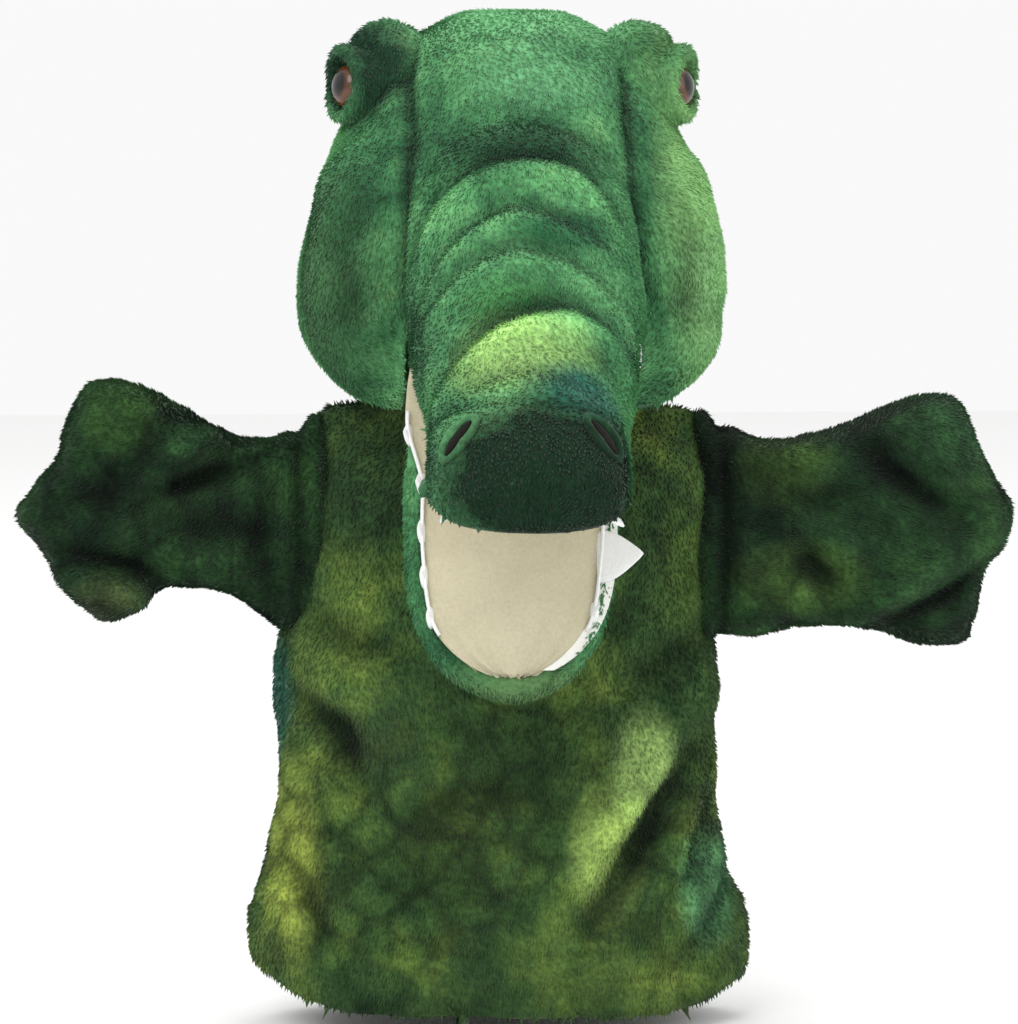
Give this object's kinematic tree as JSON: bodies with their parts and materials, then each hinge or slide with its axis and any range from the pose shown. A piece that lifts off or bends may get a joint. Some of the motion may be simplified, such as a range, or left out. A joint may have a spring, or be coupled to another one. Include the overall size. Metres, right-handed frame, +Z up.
{
  "type": "moving mouth hand puppet",
  "caption": "Plush crocodile glove puppet with a lined mouth that opens, a turning and nodding head and stuffed arms, worn over the hand from an open hem.",
  "frame": {"origin": "centre of the sleeve's opening, in the plane of the hem's lowest edge", "axes": "+Z up along the sleeve, -Y the way the puppet faces, +X to the viewer's right"},
  "size_m": [0.281, 0.1831, 0.28],
  "materials": {
    "green_plush": "short pile, mottled greens",
    "dark_plush": "short pile, mottled dark greens",
    "mouth_plush": "short cream pile",
    "plain_lining": "plain woven",
    "wadding": "loose fibre",
    "foam_board": "foam sheet",
    "white_felt": "felt",
    "nostril_felt": "felt",
    "eye_plastic": "polished",
    "washer_plastic": "moulded",
    "woven_label": "satin ribbon, blank"
  },
  "bodies": {
    "torso": {"front_panel": "green_plush", "back_panel": "green_plush", "front_lining": "plain_lining", "back_lining": "plain_lining", "front_hem_facing": "green_plush", "back_hem_facing": "green_plush", "care_label": "woven_label"},
    "neck": {"neck_collar": "green_plush", "neck_lining": "plain_lining", "throat_gusset": "green_plush"},
    "head": {"crown_panel": "green_plush", "nape_panel": "green_plush", "crown_wadding": "wadding", "head_lining": "plain_lining", "palate_lining": "mouth_plush", "palate_board": "foam_board", "finger_pocket": "plain_lining", "snout_wadding": "wadding", "mouth_fold": "mouth_plush", "cheek_panel_left": "green_plush", "brow_panel_left": "green_plush", "brow_wadding_left": "wadding", "eye_left": "eye_plastic", "eye_washer_left": "washer_plastic", "nostril_left": "nostril_felt", "upper_teeth_left": "white_felt", "cheek_panel_right": "green_plush", "brow_panel_right": "green_plush", "brow_wadding_right": "wadding", "eye_right": "eye_plastic", "eye_washer_right": "washer_plastic", "nostril_right": "nostril_felt", "upper_teeth_right": "white_felt"},
    "lower_jaw": {"chin_panel": "green_plush", "mouth_floor_lining": "mouth_plush", "jaw_board": "foam_board", "thumb_pocket": "plain_lining", "chin_wadding": "wadding", "lower_teeth_left": "white_felt", "lower_teeth_right": "white_felt"},
    "left_shoulder": {"shoulder_gather_left": "dark_plush"},
    "left_arm": {"arm_front_panel_left": "dark_plush", "arm_back_panel_left": "dark_plush", "arm_wadding_left": "wadding"},
    "right_shoulder": {"shoulder_gather_right": "dark_plush"},
    "right_arm": {"arm_front_panel_right": "dark_plush", "arm_back_panel_right": "dark_plush", "arm_wadding_right": "wadding"}
  },
  "joints": [
    {"name": "head_turn", "type": "hinge", "parent": "torso", "child": "neck", "pos_m": [0, 0, 0.168], "axis": [0, 0, 1], "range_deg": [-20, 20]},
    {"name": "head_nod", "type": "hinge", "parent": "neck", "child": "head", "pos_m": [0, 0, 0.19], "axis": [-1, 0, 0], "range_deg": [-5, 22]},
    {"name": "jaw_open", "type": "hinge", "parent": "head", "child": "lower_jaw", "pos_m": [0, -0.052, 0.19], "axis": [1, 0, 0], "range_deg": [-28, 3]},
    {"name": "left_arm_raise", "type": "hinge", "parent": "torso", "child": "left_shoulder", "pos_m": [-0.07, 0, 0.138], "axis": [0, 1, 0], "range_deg": [-25, 35]},
    {"name": "left_arm_swing", "type": "hinge", "parent": "left_shoulder", "child": "left_arm", "pos_m": [-0.07, 0, 0.138], "axis": [0, 0, 1], "range_deg": [-20, 35]},
    {"name": "right_arm_raise", "type": "hinge", "parent": "torso", "child": "right_shoulder", "pos_m": [0.07, 0, 0.138], "axis": [0, -1, 0], "range_deg": [-25, 35]},
    {"name": "right_arm_swing", "type": "hinge", "parent": "right_shoulder", "child": "right_arm", "pos_m": [0.07, 0, 0.138], "axis": [0, 0, -1], "range_deg": [-20, 35]}
  ]
}
